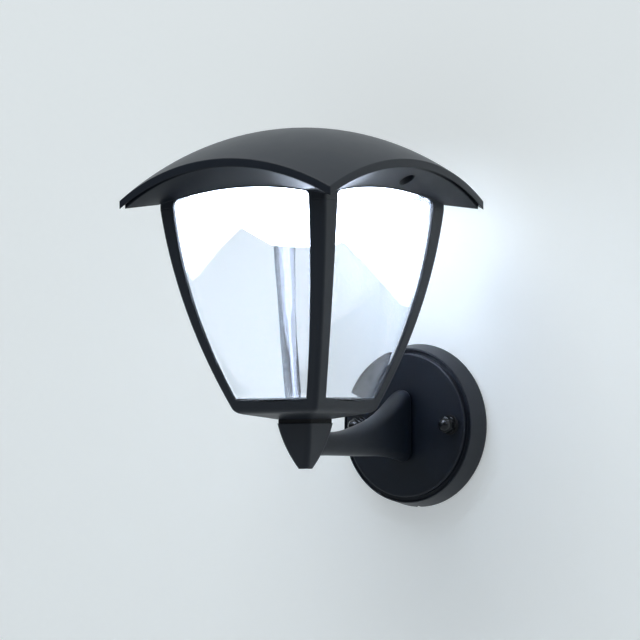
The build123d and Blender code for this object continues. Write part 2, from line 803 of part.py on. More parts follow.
with BuildPart() as wall_plate:
    with BuildSketch(Plane.XY) as plate_section:
        with BuildLine():
            Polyline(
                (0, plate_face_y),
                (plate_disc_radius, plate_face_y),
                (plate_disc_radius, groove_y),
                (plate_rim_radius - groove_depth, groove_y),
                (plate_rim_radius - groove_depth / 2, -plate_rim_depth),
                (plate_rim_radius, -plate_rim_depth),
                (plate_radius, -wall_gasket_thickness),
                (plate_radius - plate_wall, -wall_gasket_thickness),
                (plate_rim_radius - plate_wall, groove_y + plate_wall),
                (plate_disc_radius - plate_wall, groove_y + plate_wall),
                (plate_disc_radius - plate_wall, plate_inside_y),
                (0, plate_inside_y),
                close=True,
            )
        make_face()
    revolve(axis=Axis.Y)
    face_rim = wall_plate.faces().sort_by(Axis.Y)[0].edges()
    fillet(face_rim, disc_rounding)
    outer_edge = wall_plate.edges().filter_by(
        lambda edge: edge.geom_type == GeomType.CIRCLE
        and abs(edge.radius - plate_rim_radius) < same_place
        and abs(edge.center().Y + plate_rim_depth) < same_place
    )
    fillet(outer_edge, rim_rounding)
    with BuildSketch(Plane.XY.offset(-plate_radius)):
        with Locations((0, -wall_gasket_thickness - drain_slot / 2)):
            Rectangle(drain_slot, drain_slot)
    extrude(amount=plate_radius - plate_rim_radius + plate_wall, mode=Mode.SUBTRACT)
    with BuildSketch(upright(plate_inside_y)):
        with Locations((earth_x, earth_z), (0, terminal_z)):
            Circle(earth_boss)
    extrude(amount=-earth_boss_height)
    with BuildSketch(upright(plate_face_y)):
        with Locations(*stud_places):
            Circle(stud_radius + bolt_gap)
        with Locations(*arm_screw_places):
            Circle(m4 + bolt_gap)
        with Locations((0, wire_way_z)):
            Circle(wire_way_radius)
    extrude(amount=-plate_wall, mode=Mode.SUBTRACT)
    with BuildSketch(upright(plate_inside_y + earth_boss_height)):
        with Locations((earth_x, earth_z)):
            Circle(m4 + thread_gap)
        with Locations((0, terminal_z)):
            Circle(m3 + thread_gap)
    extrude(amount=earth_screw_length - earth_washer_thickness, mode=Mode.SUBTRACT)

with BuildPart() as wall_gasket:
    with BuildSketch(upright(0)):
        Circle(plate_radius - wall_gasket_inset)
        Circle(plate_radius - wall_gasket_inset - wall_gasket_width, mode=Mode.SUBTRACT)
    extrude(amount=wall_gasket_thickness)

# ---- Screws behind the wall plate ---------------------------------------------------------------

facing_wall = (180, 0, 0)  # turns an upright plane to face the wall


def behind_plate(depth):
    """Plane facing the wall, depth behind the wall plate's inner face, with local axes x and -z."""
    return upright(plate_inside_y + depth).rotated(facing_wall)


def flipped(places):
    """Places on a plane that faces the wall, from the same places seen from the front."""
    return [(x, -z) for x, z in places]


with BuildPart() as arm_washers:
    with BuildSketch(behind_plate(0)):
        with Locations(*flipped(arm_screw_places)):
            Circle(arm_washer_radius)
            Circle(m4 + bolt_gap, mode=Mode.SUBTRACT)
    extrude(amount=arm_washer_thickness)

arm_screws = screw(
    behind_plate(arm_washer_thickness), flipped(arm_screw_places), m4, m4_head, m4_head_height, arm_screw_length
)

with BuildPart() as earth_cup:
    with BuildSketch(behind_plate(earth_boss_height)):
        with Locations(*flipped([(earth_x, earth_z)])):
            Circle(earth_washer_radius)
            Circle(m4 + bolt_gap, mode=Mode.SUBTRACT)
    extrude(amount=earth_washer_thickness)

earth_screw = screw(
    behind_plate(earth_boss_height + earth_washer_thickness),
    flipped([(earth_x, earth_z)]),
    m4,
    m4_head,
    m4_head_height,
    earth_screw_length,
)

with BuildPart() as terminal_block:
    with BuildSketch(behind_plate(earth_boss_height)):
        with Locations(*flipped([(0, terminal_z)])):
            RectangleRounded(terminal_length, terminal_height, terminal_rounding)
    extrude(amount=terminal_depth)
    with BuildSketch(behind_plate(earth_boss_height + terminal_depth)):
        with Locations(*flipped(contact_places)):
            Circle(contact_radius)
    extrude(amount=-contact_depth, mode=Mode.SUBTRACT)
    with BuildSketch(Plane.XY.offset(terminal_z)):
        with Locations(*[(x, terminal_wire_y) for x in terminal_columns]):
            Circle(terminal_wire_radius)
    extrude(amount=terminal_height, both=True, mode=Mode.SUBTRACT)
    with BuildSketch(behind_plate(earth_boss_height)):
        with Locations(*flipped([(0, terminal_z)])):
            Circle(m3 + bolt_gap)
    extrude(amount=terminal_depth, mode=Mode.SUBTRACT)

with BuildPart() as terminal_contacts:
    with BuildSketch(behind_plate(earth_boss_height + terminal_depth - contact_depth)):
        with Locations(*flipped(contact_places)):
            Circle(contact_radius)
    extrude(amount=contact_depth / 2)
    with BuildSketch(behind_plate(earth_boss_height + terminal_depth - contact_depth / 2)):
        with Locations(*flipped(contact_places)):
            Rectangle(2 * contact_radius, contact_slot)
    extrude(amount=-contact_depth / 4, mode=Mode.SUBTRACT)

terminal_screw = screw(
    behind_plate(earth_boss_height + terminal_depth),
    flipped([(0, terminal_z)]),
    m3,
    m3_head,
    m3_head_height,
    terminal_depth + earth_screw_length - earth_boss_height / 2,
)

# ---- Bracket, studs and the cable's bush --------------------------------------------------------

slot_places = [(-slot_spacing / 2, 0), (slot_spacing / 2, 0)]

with BuildPart() as mounting_bracket:
    with BuildSketch(upright(0)):
        SlotOverall(2 * (plate_radius - bracket_inset), bracket_width)
        with Locations(*slot_places):
            SlotOverall(slot_length, 2 * slot_radius, mode=Mode.SUBTRACT)
        with Locations(*stud_places):
            Circle(stud_radius + thread_gap, mode=Mode.SUBTRACT)
        Circle(grommet_hole, mode=Mode.SUBTRACT)
    extrude(amount=bracket_thickness)

with BuildPart() as bracket_studs:
    with BuildSketch(upright(0)):
        with Locations(*stud_places):
            Circle(stud_radius)
    extrude(amount=stud_length)
    chamfer(bracket_studs.faces().sort_by(Axis.Y)[:2].edges(), stud_radius / 4)
    with BuildSketch(upright(bracket_front_y)):
        with Locations(*stud_places):
            Circle(stud_collar_radius)
    extrude(amount=stud_collar_height)

with BuildPart() as cable_grommet:
    with BuildSketch(upright(0)):
        Circle(grommet_hole - bolt_gap)
    extrude(amount=bracket_thickness + grommet_lip)
    with BuildSketch(upright(bracket_front_y)):
        Circle(grommet_flange)
    extrude(amount=grommet_lip)
    with BuildSketch(upright(0)):
        Circle(grommet_bore)
    extrude(amount=bracket_thickness + grommet_lip, mode=Mode.SUBTRACT)

# ---- Cap nuts and their sealing washers ---------------------------------------------------------

cap_nuts = {}
cap_washers = {}
for side, stud in (("left", -stud_x), ("right", stud_x)):
    with BuildPart() as washer:
        with BuildSketch(upright(plate_face_y)):
            with Locations((stud, 0)):
                Circle(washer_radius)
                Circle(stud_radius + bolt_gap, mode=Mode.SUBTRACT)
        extrude(amount=washer_thickness)
        rims = washer.edges().filter_by(GeomType.CIRCLE).sort_by(SortBy.RADIUS)[-2:]
        fillet(rims, washer_thickness / 3)
    with BuildPart() as nut:
        with BuildSketch(Plane.XY):
            with BuildLine():
                dome_arc = ThreePointArc(
                    (stud + cap_dome_radius, cap_shoulder_y),
                    (stud + cap_ball_radius * math.sin(cap_ball_angle / 2), cap_ball_y),
                    (stud, cap_shoulder_y - cap_dome_rise),
                )
                Polyline(
                    dome_arc @ 1,
                    (stud, cap_seat_y - cap_bore_depth),
                    (stud + cap_bore_radius, cap_seat_y - cap_bore_depth),
                    (stud + cap_bore_radius, cap_seat_y),
                    (stud + cap_collar_radius, cap_seat_y),
                    (stud + cap_collar_radius, cap_seat_y - cap_collar_height),
                    (stud + cap_dome_radius, cap_seat_y - cap_collar_height),
                    dome_arc @ 0,
                )
            make_face()
        revolve(axis=Axis((stud, 0, 0), (0, 1, 0)))
        with BuildSketch(upright(cap_seat_y - cap_collar_height)):
            with Locations((stud, 0)):
                RegularPolygon(cap_across_flats / 2, 6, major_radius=False)
                Circle(cap_bore_radius, mode=Mode.SUBTRACT)
        extrude(amount=cap_hex_height)
    cap_washers[side] = washer.part
    cap_nuts[side] = nut.part

# ---- Write the pieces ---------------------------------------------------------------------------

pieces = {
    "roof": roof.part,
    "roof_screws": roof_screws,
    "head_frame": head_frame.part,
    "corner_screws": corner_screws,
    "cage": cage.part,
    "shade": shade.part,
    "shade_gasket": shade_gasket.part,
    "shade_pads": shade_pads.part,
    "led_plate": led_plate.part,
    "led_board": led_board.part,
    "led_chips": led_chips.part,
    "board_screws": board_screws,
    "diffuser": diffuser.part,
    "diffuser_screws": diffuser_screws,
    "driver": driver.part,
    "driver_screws": driver_screws,
    "neck_gasket": neck_gasket.part,
    "neck_nipple": neck_nipple.part,
    "neck_washer": neck_washer.part,
    "neck_nut": neck_nut.part,
    "arm": arm.part,
    "arm_screws": arm_screws,
    "arm_washers": arm_washers.part,
    "wall_plate": wall_plate.part,
    "wall_gasket": wall_gasket.part,
    "earth_screw": earth_screw,
    "earth_washer": earth_cup.part,
    "terminal_block": terminal_block.part,
    "terminal_contacts": terminal_contacts.part,
    "terminal_screw": terminal_screw,
    "mounting_bracket": mounting_bracket.part,
    "bracket_studs": bracket_studs.part,
    "cable_grommet": cable_grommet.part,
    "washer_left": cap_washers["left"],
    "washer_right": cap_washers["right"],
    "cap_nut_left": cap_nuts["left"],
    "cap_nut_right": cap_nuts["right"],
}
for name, piece in pieces.items():
    piece.label = name
    export_step(piece, f"parts/{name}.step")
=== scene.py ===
"""Looks of the wall-mounted LED garden lantern: finishes, finer surfaces, studio and camera.

Everything is in metres in the lantern's own frame: the wall is the plane y = 0, the lantern
stands in front of it at negative y, z is up, and the origin is the middle of the wall plate.
Sizes in the classes below are real sizes in millimetres.
"""

from __future__ import annotations

import json
import logging
import math
from dataclasses import dataclass
from enum import Enum
from typing import Any

import bpy
import numpy as np
from mathutils import Matrix, Vector

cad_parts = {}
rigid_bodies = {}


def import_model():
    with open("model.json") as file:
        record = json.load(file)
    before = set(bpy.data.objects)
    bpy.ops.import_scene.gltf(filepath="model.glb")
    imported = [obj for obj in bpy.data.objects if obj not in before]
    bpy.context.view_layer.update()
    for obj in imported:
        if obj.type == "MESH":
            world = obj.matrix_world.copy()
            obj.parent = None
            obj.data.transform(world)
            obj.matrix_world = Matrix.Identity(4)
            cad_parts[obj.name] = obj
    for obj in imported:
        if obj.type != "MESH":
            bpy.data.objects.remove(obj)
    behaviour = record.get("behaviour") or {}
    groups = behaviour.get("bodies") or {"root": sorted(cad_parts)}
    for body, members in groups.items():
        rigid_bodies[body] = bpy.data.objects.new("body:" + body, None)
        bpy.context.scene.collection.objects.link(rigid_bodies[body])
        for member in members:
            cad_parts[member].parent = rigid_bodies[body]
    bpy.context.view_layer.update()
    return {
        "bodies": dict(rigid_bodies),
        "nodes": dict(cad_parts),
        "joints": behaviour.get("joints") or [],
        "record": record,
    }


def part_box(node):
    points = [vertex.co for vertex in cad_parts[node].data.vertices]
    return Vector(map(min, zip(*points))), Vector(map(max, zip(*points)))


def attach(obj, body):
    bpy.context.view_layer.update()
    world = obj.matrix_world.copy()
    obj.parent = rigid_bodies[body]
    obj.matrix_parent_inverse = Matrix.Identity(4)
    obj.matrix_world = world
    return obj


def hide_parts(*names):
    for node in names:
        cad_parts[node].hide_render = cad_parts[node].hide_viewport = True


LOG = logging.getLogger("lantern")
MM = 0.001
LANTERN = "lantern"

# ---- Colours, nodes and meshes ------------------------------------------------------------------


def linear(colour: str) -> tuple[float, float, float, float]:
    """Turns an sRGB hex colour to linear values.

    Args:
        colour: six hex digits after a hash, such as "#2f353c".

    Returns:
        Red, green, blue and an alpha of one.
    """
    shares = [int(colour[start : start + 2], 16) / 255 for start in (1, 3, 5)]
    red, green, blue = (s / 12.92 if s <= 0.04045 else ((s + 0.055) / 1.055) ** 2.4 for s in shares)
    return red, green, blue, 1.0


def add_node(
    tree: bpy.types.NodeTree,
    kind: str,
    values: dict[Any, Any] | None = None,
    links: dict[Any, bpy.types.NodeSocket] | None = None,
    **settings: Any,
) -> bpy.types.Node:
    """Adds one node with its settings, socket values and incoming links.

    Args:
        tree: the node tree that gets it.
        kind: the node's type after "ShaderNode".
        values: values by the name or number of the input socket.
        links: output sockets by the name or number of the input socket that they feed.
        **settings: the node's own properties.

    Returns:
        The new node.
    """
    node = tree.nodes.new("ShaderNode" + kind)
    for key, value in settings.items():
        setattr(node, key, value)
    for socket, value in (values or {}).items():
        node.inputs[socket].default_value = value
    for socket, source in (links or {}).items():
        tree.links.new(source, node.inputs[socket])
    return node


def smooth_object(name: str, vertices: np.ndarray, faces: list[tuple[int, ...]]) -> bpy.types.Object:
    """Makes a smooth-shaded mesh object with its place in its mesh.

    Args:
        name: the object's name.
        vertices: points in metres, one row each.
        faces: vertex numbers of each face, anticlockwise seen from outside.

    Returns:
        The object, linked to the scene.
    """
    mesh = bpy.data.meshes.new(name)
    mesh.from_pydata(vertices.tolist(), [], faces)
    mesh.polygons.foreach_set("use_smooth", np.ones(len(faces), dtype=bool))
    mesh.update()
    piece = bpy.data.objects.new(name, mesh)
    bpy.context.scene.collection.objects.link(piece)
    return piece


def ring_faces(rings: int, around: int, first: int = 0) -> list[tuple[int, ...]]:
    """Quads between neighbouring closed rings.

    Args:
        rings: how many rings there are.
        around: points on each ring.
        first: number of the first ring's first point.

    Returns:
        The faces, facing outwards where rings run anticlockwise and rise.
    """
    ring, step = np.meshgrid(np.arange(rings - 1), np.arange(around), indexing="ij")
    low = first + ring * around + step
    low_next = first + ring * around + (step + 1) % around
    quads = np.stack([low, low_next, low_next + around, low + around], axis=-1).reshape(-1, 4)
    return [tuple(quad) for quad in quads.tolist()]


def closed_skin(name: str, rings: np.ndarray) -> bpy.types.Object:
    """Makes a closed surface from rings, with a pole at each end.

    Args:
        name: the object's name.
        rings: points in metres, shaped rings by points around by three.

    Returns:
        The object.
    """
    count, around = rings.shape[:2]
    start_pole, end_pole = rings[0].mean(axis=0), rings[-1].mean(axis=0)
    vertices = np.concatenate([rings.reshape(-1, 3), start_pole[None], end_pole[None]])
    faces = ring_faces(count, around)
    last, bottom = (count - 1) * around, count * around
    faces += [(bottom, (step + 1) % around, step) for step in range(around)]
    faces += [(bottom + 1, last + step, last + (step + 1) % around) for step in range(around)]
    return smooth_object(name, vertices, faces)


def rounded_square(half: np.ndarray, corner: np.ndarray, arc: int, side: int) -> np.ndarray:
    """Rings of a square with rounded corners: straight sides joined by quarter circles.

    Args:
        half: half width of each ring.
        corner: corner radius of each ring.
        arc: points on each corner.
        side: points on each side between its corners.

    Returns:
        Plan coordinates, shaped rings by points by two, anticlockwise from the +x side's end.
    """
    turn = np.linspace(0, np.pi / 2, arc)
    reach = (half - corner)[:, None]
    corner_x = reach + corner[:, None] * np.cos(turn)
    corner_y = reach + corner[:, None] * np.sin(turn)
    share = np.arange(1, side + 1) / (side + 1)
    run_x = reach * (1 - 2 * share)
    run_y = np.repeat(half[:, None], side, axis=1)
    quarter = np.stack([np.concatenate([corner_x, run_x], 1), np.concatenate([corner_y, run_y], 1)], -1)
    quarter_turns = [math.pi / 2 * count for count in range(4)]
    turns = [np.array([[math.cos(a), math.sin(a)], [-math.sin(a), math.cos(a)]]) for a in quarter_turns]
    return np.concatenate([quarter @ turn_matrix for turn_matrix in turns], axis=1)


def fillet_profile(
    centre: tuple[float, float], radius: float, start_deg: float, end_deg: float, steps: int
) -> np.ndarray:
    """Points on an arc about a centre: (width, height) = centre + radius * (cos, sin) of the angle.

    Args:
        centre: the arc's centre, width and height.
        radius: the arc's radius.
        start_deg: where the arc starts.
        end_deg: where it ends.
        steps: how many points.

    Returns:
        The points, one row each.
    """
    turn = np.radians(np.linspace(start_deg, end_deg, steps))
    return np.stack([centre[0] + radius * np.cos(turn), centre[1] + radius * np.sin(turn)], axis=-1)


# ---- Finishes -----------------------------------------------------------------------------------


class Pattern(Enum):
    """Procedural patterns that the finishes use."""

    NOISE = "TexNoise"
    CELLS = "TexVoronoi"


def per_metre(size_mm: float) -> float:
    """Scale of a pattern on Object coordinates whose feature is size_mm wide."""
    return 1 / (size_mm * MM)


@dataclass(frozen=True)
class Surface:
    """A plain dielectric or metal surface with mottled colour, uneven gloss and a fine bump.

    Attributes:
        name: the real material's name.
        colour: its colour, sRGB.
        shade: the colour of its darker or lighter patches.
        roughness: mean roughness.
        uneven: how far the roughness strays from the mean.
        metallic: one for bare metal.
        ior: refractive index, left out for metal.
        patch_mm: size of the patches.
        grain_mm: size of the bump's grains.
        grain_depth_mm: depth of the bump.
        edge_mm: radius that softens the edges, where it isn't zero.
        pattern: the bump's pattern.
    """

    name: str
    colour: str
    shade: str
    roughness: float
    uneven: float = 0.05
    metallic: float = 0.0
    ior: float = 1.5
    patch_mm: float = 18.0
    grain_mm: float = 0.6
    grain_depth_mm: float = 0.02
    edge_mm: float = 0.0
    pattern: Pattern = Pattern.NOISE

    def material(self) -> bpy.types.Material:
        """Builds the node material.

        Returns:
            The material.
        """
        made = bpy.data.materials.new(self.name)
        made.use_nodes = True
        tree = made.node_tree
        shader = tree.nodes["Principled BSDF"]
        place = add_node(tree, "TexCoord").outputs["Object"]
        patch_scale = per_metre(self.patch_mm)
        patches = add_node(tree, "TexNoise", {"Scale": patch_scale, "Detail": 4.0}, {"Vector": place})
        tint = add_node(
            tree,
            "Mix",
            {6: linear(self.colour), 7: linear(self.shade)},
            {0: patches.outputs[0]},
            data_type="RGBA",
        )
        tree.links.new(tint.outputs[2], shader.inputs["Base Color"])
        grain = add_node(tree, self.pattern.value, {"Scale": per_metre(self.grain_mm)}, {"Vector": place})
        gloss = add_node(
            tree,
            "MapRange",
            {"To Min": self.roughness - self.uneven, "To Max": self.roughness + self.uneven},
            {"Value": patches.outputs[0]},
        )
        tree.links.new(gloss.outputs[0], shader.inputs["Roughness"])
        bump = add_node(tree, "Bump", {"Distance": self.grain_depth_mm * MM}, {"Height": grain.outputs[0]})
        if self.edge_mm:
            soft = add_node(tree, "Bevel", {"Radius": self.edge_mm * MM}, samples=6)
            tree.links.new(soft.outputs[0], bump.inputs["Normal"])
        tree.links.new(bump.outputs[0], shader.inputs["Normal"])
        shader.inputs["Metallic"].default_value = self.metallic
        if not self.metallic:
            shader.inputs["IOR"].default_value = self.ior
        return made


@dataclass(frozen=True)
class ClearPlastic:
    """Injection-moulded clear polycarbonate: nearly colourless, glossy, with slow waves from its flow."""

    name: str = "Clear_polycarbonate_moulding"
    tint: str = "#fbfdff"
    roughness: float = 0.015
    ior: float = 1.585
    wave_mm: float = 26.0
    wave_depth_mm: float = 0.05

    def material(self) -> bpy.types.Material:
        """Builds the node material.

        Returns:
            The material.
        """
        made = bpy.data.materials.new(self.name)
        made.use_nodes = True
        tree = made.node_tree
        shader = tree.nodes["Principled BSDF"]
        place = add_node(tree, "TexCoord").outputs["Object"]
        wave_scale = per_metre(self.wave_mm)
        waves = add_node(tree, "TexNoise", {"Scale": wave_scale, "Detail": 1.0}, {"Vector": place})
        bump = add_node(tree, "Bump", {"Distance": self.wave_depth_mm * MM}, {"Height": waves.outputs[0]})
        tree.links.new(bump.outputs[0], shader.inputs["Normal"])
        shader.inputs["Base Color"].default_value = linear(self.tint)
        shader.inputs["Roughness"].default_value = self.roughness
        shader.inputs["IOR"].default_value = self.ior
        shader.inputs["Transmission Weight"].default_value = 1.0
        return made


@dataclass(frozen=True)
class LitOpal:
    """Opal polycarbonate in front of cool white LEDs: satin, and glowing evenly."""

    name: str = "Opal_polycarbonate_lit"
    colour: str = "#f4f8ff"
    glow: str = "#dde9ff"
    strength: float = 13.0
    roughness: float = 0.45
    grain_mm: float = 1.2
    grain_depth_mm: float = 0.02

    def material(self) -> bpy.types.Material:
        """Builds the node material.

        Returns:
            The material.
        """
        made = bpy.data.materials.new(self.name)
        made.use_nodes = True
        tree = made.node_tree
        shader = tree.nodes["Principled BSDF"]
        place = add_node(tree, "TexCoord").outputs["Object"]
        grain = add_node(tree, Pattern.CELLS.value, {"Scale": per_metre(self.grain_mm)}, {"Vector": place})
        bump = add_node(tree, "Bump", {"Distance": self.grain_depth_mm * MM}, {"Height": grain.outputs[0]})
        tree.links.new(bump.outputs[0], shader.inputs["Normal"])
        shader.inputs["Base Color"].default_value = linear(self.colour)
        shader.inputs["Roughness"].default_value = self.roughness
        shader.inputs["Emission Color"].default_value = linear(self.glow)
        shader.inputs["Emission Strength"].default_value = self.strength
        return made


# Polyester powder coat on die-cast aluminium: nearly black, satin, with a fine orange peel, and thick enough
# to soften every edge. Its cast of blue is painted light, standing in for the cool LED light that falls on
# it.
POWDER_COAT = Surface(
    "Powder_coat_anthracite_satin",
    "#0c1520",
    "#111b28",
    0.42,
    0.04,
    grain_mm=0.9,
    grain_depth_mm=0.015,
    edge_mm=1.0,
)
# EPDM: moulded, matte black, slightly dusty.
RUBBER = Surface("EPDM_rubber_moulded", "#0b0c0e", "#121316", 0.75, 0.08, ior=1.52, grain_mm=0.4)
# Zinc-plated steel: cool grey, semi-bright.
ZINC = Surface(
    "Zinc_plated_steel", "#b4b7b5", "#a3a7a8", 0.32, 0.08, metallic=1.0, grain_mm=0.5, grain_depth_mm=0.01
)
# Black-nickelled steel cap nuts: dark and shiny.
BLACK_STEEL = Surface(
    "Black_coated_steel", "#0d1015", "#12161b", 0.24, 0.05, grain_mm=0.5, grain_depth_mm=0.006, edge_mm=0.25
)
# White solder mask on an aluminium-core board.
BOARD = Surface("White_solder_mask", "#dfe2e0", "#d6dad8", 0.35, 0.05, grain_mm=0.8, grain_depth_mm=0.01)
# Phosphor over each LED die.
PHOSPHOR = Surface(
    "LED_phosphor_silicone", "#e8d98a", "#e2cf70", 0.3, 0.05, grain_mm=0.4, grain_depth_mm=0.01
)
# Mill-finish aluminium sheet.
ALUMINIUM = Surface("Mill_finish_aluminium", "#c3c5c8", "#b6b9bd", 0.36, 0.1, metallic=1.0, grain_mm=0.7)
# ABS driver case and terminal block: light grey, fine spark-eroded texture.
GREY_ABS = Surface("Grey_ABS_moulded", "#c9cbca", "#c2c5c4", 0.5, 0.05, grain_mm=0.6, grain_depth_mm=0.03)
# Nickel-free brass contacts and earth screw.
BRASS = Surface(
    "Brass_turned", "#c9a25a", "#b98f48", 0.28, 0.08, metallic=1.0, grain_mm=0.5, grain_depth_mm=0.01
)

FINISHES = {
    "cast_anthracite": POWDER_COAT,
    "clear_acrylic": ClearPlastic(),
    "opal_diffuser": LitOpal(),
    "black_rubber": RUBBER,
    "led_phosphor": PHOSPHOR,
    "board_white": BOARD,
    "bare_aluminium": ALUMINIUM,
    "zinc_steel": ZINC,
    "black_steel": BLACK_STEEL,
    "driver_plastic": GREY_ABS,
    "brass": BRASS,
}


@dataclass
class Wardrobe:
    """Makes each finish once and puts it on the pieces of its slot."""

    made: dict[str, bpy.types.Material]

    @classmethod
    def open(cls) -> "Wardrobe":
        """Makes every finish."""
        return cls({slot: finish.material() for slot, finish in FINISHES.items()})

    def dress(self, piece: bpy.types.Object, slot: str) -> None:
        """Puts the slot's finish on a new piece."""
        piece.data.materials.clear()
        piece.data.materials.append(self.made[slot])

    def dress_nodes(self, frame: dict[str, Any]) -> None:
        """Puts the finish of its record's slot on each node.
        """
        for row in frame["record"]["subparts"]:
            node = frame["nodes"][row["node"]]
            for held in node.material_slots:
                held.material = self.made[row["material_slot"]]


# ---- Clear shade --------------------------------------------------------------------------------


@dataclass
class ClearShade:
    """The moulded bucket behind the posts: rounded-square rings that follow the posts' arc.

    The outer wall runs up an arc and then straight to the flange; the inner wall is the same curve
    a wall's thickness inside it, with sharper corners, slow waves where the plastic flowed, and
    upright draw marks in the corners.
    """

    axis_y: float = -128.7
    foot: tuple[float, float] = (35.4, 14.1)
    head: tuple[float, float] = (66.1, 139.0)
    bulge: float = 4.4
    inset: float = 2.2
    wall: float = 2.4
    bottom_z: float = 14.0
    floor: float = 2.5
    corner_share: float = 0.188
    edge: float = 2.5
    collar_z: float = 153.0
    flange: float = 2.0
    flange_reach: float = 3.0
    flange_corner: float = 13.0
    flange_edge: float = 0.4
    wave: float = 0.05
    wave_length: float = 34.0
    wave_turns: tuple[int, int] = (3, 5)
    wave_drift: float = 0.6
    sharper: float = 3.0
    mark: float = 0.02
    marks: int = 5
    mark_lean: float = 0.02
    arc: int = 30
    side: int = 22
    floor_rings: int = 8
    edge_rings: int = 9
    wall_rows: int = 59
    collar_rows: int = 5

    def half(self, z: np.ndarray, inset: float) -> np.ndarray:
        """Half width at each height: the posts' circular arc moved inwards, straight above its head.

        Args:
            z: heights in millimetres.
            inset: distance inside the posts' outer arc.

        Returns:
            The half widths.
        """
        rise, run = self.head[1] - self.foot[1], self.head[0] - self.foot[0]
        chord = math.hypot(rise, run)
        radius = (chord**2 / 4 + self.bulge**2) / (2 * self.bulge)
        centre = (self.foot[0] + self.head[0]) / 2 - (radius - self.bulge) * rise / chord
        centre_z = (self.foot[1] + self.head[1]) / 2 + (radius - self.bulge) * run / chord
        low = np.minimum(z, self.head[1])
        return centre + np.sqrt(radius**2 - (low - centre_z) ** 2) - inset

    def corner(self, z: np.ndarray, inset: float) -> np.ndarray:
        """Corner radius at each height, growing with the shade's width.

        Args:
            z: heights in millimetres.
            inset: distance inside the posts' outer arc.

        Returns:
            The corner radii.
        """
        return self.corner_share * self.half(z, self.inset) - (inset - self.inset)

    def wall_rings(self, inset: float, bottom: float) -> np.ndarray:
        """Profile from the middle of the floor out to the edge and up to the collar.

        Args:
            inset: distance inside the posts' outer arc.
            bottom: height of the floor.

        Returns:
            Rows of half width, height and corner radius, from the floor's middle to the collar.
        """
        start = np.array(bottom + self.edge)
        foot_half, foot_corner = float(self.half(start, inset)), float(self.corner(start, inset))
        flat = np.linspace(0.04, 1, self.floor_rings + 1)[:-1] * (foot_half - self.edge)
        floor_rows = np.stack([flat, np.full_like(flat, bottom), foot_corner * flat / foot_half], axis=-1)
        arc = fillet_profile((foot_half - self.edge, bottom + self.edge), self.edge, -90, 0, self.edge_rings)
        arc_rows = np.column_stack([arc, foot_corner * arc[:, 0] / foot_half])
        up_the_arc = np.linspace(bottom + self.edge, self.head[1], self.wall_rows + 1)[1:]
        up_the_collar = np.linspace(self.head[1], self.collar_z, self.collar_rows + 1)[1:]
        heights = np.concatenate([up_the_arc, up_the_collar])
        wall_rows = np.column_stack([self.half(heights, inset), heights, self.corner(heights, inset)])
        return np.concatenate([floor_rows, arc_rows, wall_rows])

    def ripple(self, height: np.ndarray) -> np.ndarray:
        """Depth of the waves and draw marks on the inner wall.

        The waves are half the sum of two sines of height and turn, which run opposite ways round. The
        marks are a sine across each corner, faded out by a half sine towards the flat sides.

        Args:
            height: heights in millimetres, shaped rings by points around.

        Returns:
            The depths, in the same shape.
        """
        around = height.shape[1]
        turn = np.linspace(0, 2 * np.pi, around, endpoint=False)
        phase = 2 * np.pi * height / self.wave_length
        one_way, other_way = self.wave_turns
        waves = np.sin(phase + one_way * turn) + np.sin(self.wave_drift * phase - other_way * turn + 1)
        across = np.clip((np.arange(around) % (self.arc + self.side)) / (self.arc - 1), 0, 1)
        marks = np.sin(np.pi * across) * np.sin(2 * np.pi * self.marks * across + self.mark_lean * phase)
        return self.wave * waves / 2 + self.mark * marks

    def rings(self) -> np.ndarray:
        """Closed profile of the shell as rings in metres.

        Returns:
            Points shaped rings by points around by three.
        """
        outer = self.wall_rings(self.inset, self.bottom_z)
        inner = self.wall_rings(self.inset + self.wall, self.bottom_z + self.floor)
        inner[:, 2] *= 1 - self.sharper / inner[:, 2].max()
        top = self.collar_z + self.flange
        reach = outer[-1, 0] + self.flange_reach
        edge = self.flange_edge
        flange = np.array(
            [
                [reach - edge, self.collar_z, self.flange_corner],
                [reach, self.collar_z + edge, self.flange_corner],
                [reach, top - edge, self.flange_corner],
                [reach - edge, top, self.flange_corner],
                [inner[-1, 0] + edge, top, inner[-1, 2]],
                [inner[-1, 0], top - edge, inner[-1, 2]],
            ]
        )
        profile = np.concatenate([outer, flange, inner[::-1]])
        plan = rounded_square(profile[:, 0], profile[:, 2], self.arc, self.side)
        height = np.repeat(profile[:, 1][:, None], plan.shape[1], axis=1)
        ripple = np.zeros_like(height)
        inside = slice(len(outer) + len(flange), None)
        ripple[inside] = self.ripple(height[inside])
        scale = 1 - ripple / np.maximum(profile[:, 0][:, None], self.edge)
        x, y = plan[..., 0] * scale, plan[..., 1] * scale + self.axis_y
        return np.stack([x, y, height], axis=-1) * MM

    def build(self, wardrobe: Wardrobe) -> bpy.types.Object:
        """Makes the shade in place of its plain solid.

        Args:
            wardrobe: the finishes.

        Returns:
            The shade.
        """
        piece = closed_skin("shade_moulding", self.rings())
        wardrobe.dress(piece, "clear_acrylic")
        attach(piece, LANTERN)
        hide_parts("shade")
        return piece


# ---- Cap nuts -----------------------------------------------------------------------------------


class Side(Enum):
    """Which stud a cap nut is on."""

    LEFT = "left"
    RIGHT = "right"


